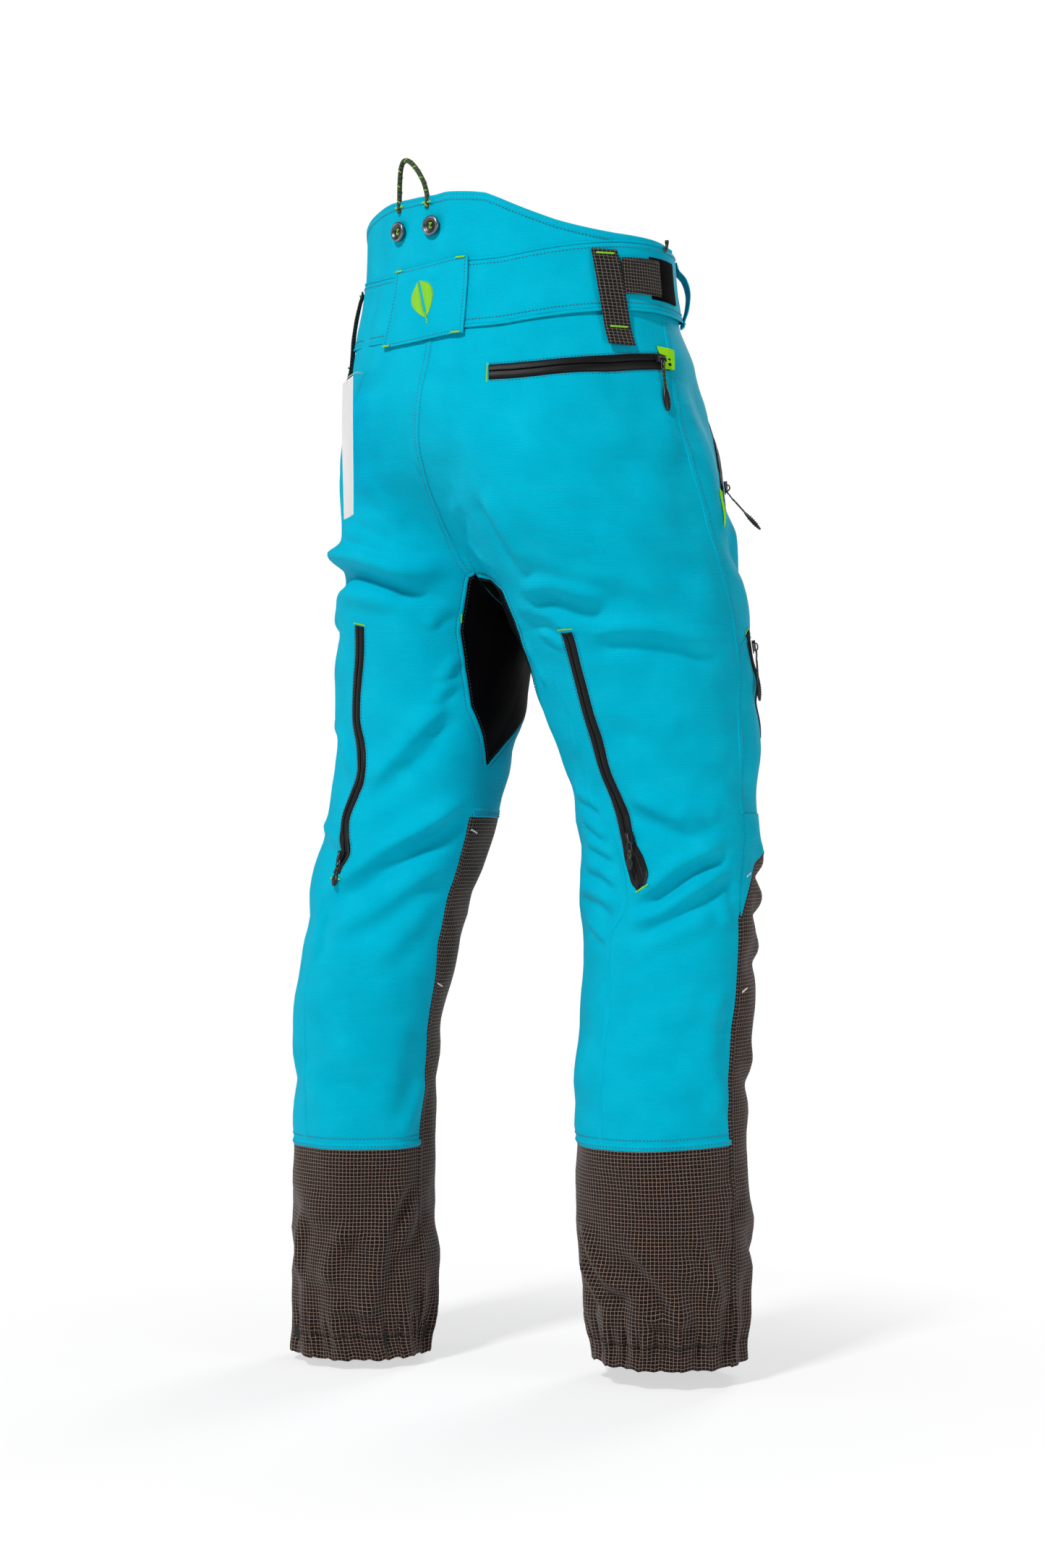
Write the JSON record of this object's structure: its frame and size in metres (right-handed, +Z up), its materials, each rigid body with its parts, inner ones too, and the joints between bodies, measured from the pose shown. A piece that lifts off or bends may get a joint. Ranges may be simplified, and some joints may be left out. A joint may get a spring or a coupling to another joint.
{
  "type": "chainsaw trousers",
  "caption": "Forestry work trousers with saw-stopping pads, raised back, waist tabs, pocket zips and leg vents, in a walking stance.",
  "frame": {"origin": "on the floor between the hems, under the middle of the waist", "axes": "+Z up; the front of the garment faces -Y; the wearer's right is -X"},
  "size_m": [0.4568, 0.3672, 1.2195],
  "materials": {
    "stretch_cloth": "matte ribbed stretch weave",
    "label_cloth": "matte plain weave with lime stitching",
    "ripstop_cloth": "matte ripstop, tan grid on dark brown",
    "webbing": "ribbed webbing",
    "black_laminate": "matt laminated zip tape and gusset",
    "saw_pad": "loose-laid fibre layers",
    "lining": "mesh pocket lining",
    "gunmetal": "dark plated metal",
    "cord": "braided cord with lime flecks and a soft tag",
    "card": "plain white card"
  },
  "bodies": {
    "waist": {"waistband": "stretch_cloth", "back_yoke": "stretch_cloth", "seat_panel_right": "stretch_cloth", "seat_panel_left": "stretch_cloth", "front_hip_right": "stretch_cloth", "front_hip_left": "stretch_cloth", "crotch_gusset": "black_laminate", "fly_zip_tape": "black_laminate", "waist_button": "gunmetal", "label_patch": "label_cloth", "brace_button_right": "gunmetal", "brace_button_left": "gunmetal", "back_cord_loop": "cord", "belt_loop_back_right": "webbing", "belt_loop_back_left": "webbing", "belt_loop_front_right": "stretch_cloth", "belt_loop_front_left": "stretch_cloth", "hip_zip_tape": "black_laminate", "hip_pocket_bag": "lining", "hand_zip_tape_right": "black_laminate", "hand_zip_tape_left": "black_laminate", "hand_pocket_bag_right": "lining", "hand_pocket_bag_left": "lining"},
    "thigh_right": {"thigh_back_right": "stretch_cloth", "thigh_front_right": "ripstop_cloth", "knee_back_right": "stretch_cloth", "knee_front_right": "ripstop_cloth", "saw_pad_thigh_right": "saw_pad", "vent_zip_tape_right": "black_laminate", "thigh_zip_tape": "black_laminate"},
    "shin_right": {"calf_back_right": "stretch_cloth", "cuff_back_right": "ripstop_cloth", "shin_front_right": "ripstop_cloth", "saw_pad_shin_right": "saw_pad"},
    "thigh_left": {"thigh_back_left": "stretch_cloth", "thigh_front_left": "ripstop_cloth", "knee_back_left": "stretch_cloth", "knee_front_left": "ripstop_cloth", "saw_pad_thigh_left": "saw_pad", "vent_zip_tape_left": "black_laminate"},
    "shin_left": {"calf_back_left": "stretch_cloth", "cuff_back_left": "ripstop_cloth", "shin_front_left": "ripstop_cloth", "saw_pad_shin_left": "saw_pad"},
    "hip_zip_slider": {"hip_slider": "gunmetal"},
    "hip_zip_pull": {"hip_pull": "cord"},
    "hand_right_zip_slider": {"hand_right_slider": "gunmetal"},
    "hand_right_zip_pull": {"hand_right_pull": "cord"},
    "hand_left_zip_slider": {"hand_left_slider": "gunmetal"},
    "hand_left_zip_pull": {"hand_left_pull": "cord"},
    "fly_zip_slider": {"fly_slider": "gunmetal"},
    "thigh_zip_slider": {"thigh_slider": "gunmetal"},
    "thigh_zip_pull": {"thigh_pull": "cord"},
    "vent_right_zip_slider": {"vent_right_slider": "gunmetal"},
    "vent_right_zip_pull": {"vent_right_pull": "cord"},
    "vent_left_zip_slider": {"vent_left_slider": "gunmetal"},
    "vent_left_zip_pull": {"vent_left_pull": "cord"},
    "waist_tab_right": {"waist_tab_right": "webbing"},
    "waist_tab_left": {"waist_tab_left": "webbing"},
    "swing_tag": {"swing_tag": "card"}
  },
  "joints": [
    {"name": "hip_right", "type": "hinge", "parent": "waist", "child": "thigh_right", "pos_m": [-0.1, 0, 0.82], "axis": [-1, 0, 0], "range_deg": [-8, 45], "deforming": ["seat_panel_right", "front_hip_right", "crotch_gusset", "hand_pocket_bag_right"]},
    {"name": "knee_right", "type": "hinge", "parent": "thigh_right", "child": "shin_right", "pos_m": [-0.13551, -0.08502, 0.46], "axis": [1, 0, 0], "range_deg": [0, 70], "deforming": ["knee_back_right", "knee_front_right"]},
    {"name": "hip_left", "type": "hinge", "parent": "waist", "child": "thigh_left", "pos_m": [0.1, 0, 0.82], "axis": [-1, 0, 0], "range_deg": [-8, 45], "deforming": ["seat_panel_left", "front_hip_left", "crotch_gusset", "hand_pocket_bag_left"]},
    {"name": "knee_left", "type": "hinge", "parent": "thigh_left", "child": "shin_left", "pos_m": [0.13153, 0.05743, 0.46], "axis": [1, 0, 0], "range_deg": [0, 70], "deforming": ["knee_back_left", "knee_front_left"]},
    {"name": "hip_zip", "type": "hinge", "parent": "waist", "child": "hip_zip_slider", "pos_m": [-0.02793, -0.01032, 0.96365], "axis": [0.2201, -0.0787, 0.9723], "range_deg": [-65.55, 6.85]},
    {"name": "hip_pull_swing", "type": "hinge", "parent": "hip_zip_slider", "child": "hip_zip_pull", "pos_m": [-0.19865, 0.00394, 0.99781], "axis": [0.0734, 0.9973, 0], "range_deg": [0, 75]},
    {"name": "hand_right_zip", "type": "hinge", "parent": "waist", "child": "hand_right_zip_slider", "pos_m": [0.12248, 0.15987, 0.8389], "axis": [0.4308, -0.6735, -0.6007], "range_deg": [-18.86, 2.4]},
    {"name": "hand_right_pull_swing", "type": "hinge", "parent": "hand_right_zip_slider", "child": "hand_right_zip_pull", "pos_m": [-0.2053, -0.08947, 0.87658], "axis": [-0.5048, 0.8632, 0], "range_deg": [0, 75]},
    {"name": "hand_left_zip", "type": "hinge", "parent": "waist", "child": "hand_left_zip_slider", "pos_m": [-0.12245, 0.15655, 0.9048], "axis": [0.4835, 0.5997, 0.6376], "range_deg": [-20.03, 2.55]},
    {"name": "hand_left_pull_swing", "type": "hinge", "parent": "hand_left_zip_slider", "child": "hand_left_zip_pull", "pos_m": [0.19241, -0.07259, 0.87465], "axis": [-0.4728, -0.8812, 0], "range_deg": [0, 75]},
    {"name": "fly_zip", "type": "hinge", "parent": "waist", "child": "fly_zip_slider", "pos_m": [-0.00274, 0.08047, 0.99118], "axis": [-0.9999, -0.012, -0.001], "range_deg": [-30.39, 1.97]},
    {"name": "thigh_zip", "type": "hinge", "parent": "thigh_right", "child": "thigh_zip_slider", "pos_m": [0.37277, 0.30966, 0.63022], "axis": [0.5664, -0.6771, 0.4699], "range_deg": [-0.74, 7.56]},
    {"name": "thigh_pull_swing", "type": "hinge", "parent": "thigh_zip_slider", "child": "thigh_zip_pull", "pos_m": [-0.21774, -0.11739, 0.71955], "axis": [-0.5026, 0.8645, 0], "range_deg": [0, 75]},
    {"name": "vent_right_zip", "type": "hinge", "parent": "thigh_right", "child": "vent_right_zip_slider", "pos_m": [-0.24724, 0.59076, 0.47499], "axis": [0.9726, 0.1259, -0.1953], "range_deg": [-20.73, 3.84]},
    {"name": "vent_right_pull_swing", "type": "hinge", "parent": "vent_right_zip_slider", "child": "vent_right_zip_pull", "pos_m": [-0.15925, 0.00783, 0.52992], "axis": [0.961, 0.2767, 0], "range_deg": [0, 75]},
    {"name": "vent_left_zip", "type": "hinge", "parent": "thigh_left", "child": "vent_left_zip_slider", "pos_m": [0.10518, 0.5285, 0.64524], "axis": [0.9981, 0.0224, 0.0582], "range_deg": [-31.31, 2.18]},
    {"name": "vent_left_pull_swing", "type": "hinge", "parent": "vent_left_zip_slider", "child": "vent_left_zip_pull", "pos_m": [0.12149, 0.13274, 0.51006], "axis": [0.9982, 0.06, 0], "range_deg": [0, 75]},
    {"name": "waist_tab_right_peel", "type": "hinge", "parent": "waist", "child": "waist_tab_right", "pos_m": [-0.17241, 0.03795, 1.088], "axis": [0, 0, -1], "range_deg": [0, 60]},
    {"name": "waist_tab_left_peel", "type": "hinge", "parent": "waist", "child": "waist_tab_left", "pos_m": [0.17241, 0.03795, 1.088], "axis": [0, 0, 1], "range_deg": [0, 60]},
    {"name": "swing_tag_swing", "type": "hinge", "parent": "waist", "child": "swing_tag", "pos_m": [0.0722, 0.1656, 0.992], "axis": [0.766, -0.6428, 0], "range_deg": [0, 60]}
  ]
}
